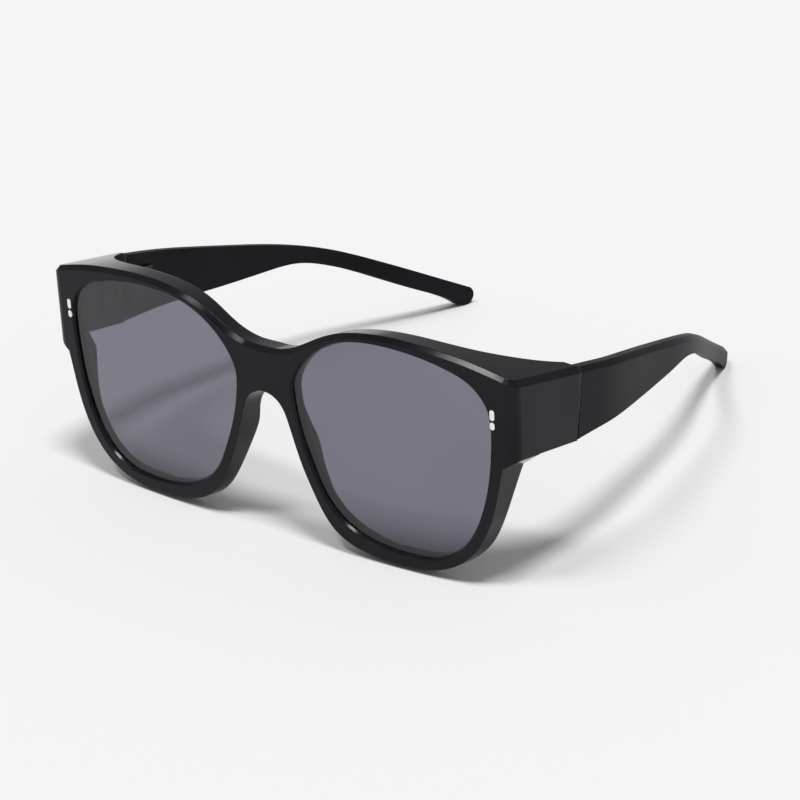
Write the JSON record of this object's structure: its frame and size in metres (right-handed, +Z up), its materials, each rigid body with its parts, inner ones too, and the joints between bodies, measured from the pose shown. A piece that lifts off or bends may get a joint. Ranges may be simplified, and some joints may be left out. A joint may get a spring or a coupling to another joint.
{
  "type": "fit-over sunglasses",
  "caption": "Black fit-over sunglasses with a deep brow, wrapping side walls, tinted lenses snapped into the rims and temples that fold inwards on screwed metal hinges.",
  "frame": {"origin": "bottom centre of the bounding box of the open glasses, standing on the rims and the temple tips", "axes": "+Z up, -Y the way the lenses face, +X towards the wearer's left"},
  "size_m": [0.1526, 0.153, 0.0633],
  "materials": {
    "frame_plastic": "satin",
    "lens_tint": "polished",
    "hinge_steel": "satin",
    "screw_steel": "satin",
    "inlay_metal": "polished"
  },
  "bodies": {
    "front": {"front_frame": "frame_plastic", "right_lens": "lens_tint", "right_front_hinge_leaf": "hinge_steel", "right_hinge_screw": "screw_steel", "right_front_leaf_screw_1": "screw_steel", "right_front_leaf_screw_2": "screw_steel", "right_upper_inlay": "inlay_metal", "right_lower_inlay": "inlay_metal", "left_lens": "lens_tint", "left_front_hinge_leaf": "hinge_steel", "left_hinge_screw": "screw_steel", "left_front_leaf_screw_1": "screw_steel", "left_front_leaf_screw_2": "screw_steel", "left_upper_inlay": "inlay_metal", "left_lower_inlay": "inlay_metal"},
    "right_arm": {"right_temple": "frame_plastic", "right_temple_hinge_leaf": "hinge_steel", "right_temple_leaf_screw_1": "screw_steel", "right_temple_leaf_screw_2": "screw_steel"},
    "left_arm": {"left_temple": "frame_plastic", "left_temple_hinge_leaf": "hinge_steel", "left_temple_leaf_screw_1": "screw_steel", "left_temple_leaf_screw_2": "screw_steel"}
  },
  "joints": [
    {"name": "right_temple_hinge", "type": "hinge", "parent": "front", "child": "right_arm", "pos_m": [0.07105, -0.04598, 0.04344], "axis": [0, 0.1392, 0.9903], "range_deg": [0, 84]},
    {"name": "left_temple_hinge", "type": "hinge", "parent": "front", "child": "left_arm", "pos_m": [-0.07105, -0.04598, 0.04344], "axis": [0, -0.1392, -0.9903], "range_deg": [0, 75]}
  ]
}
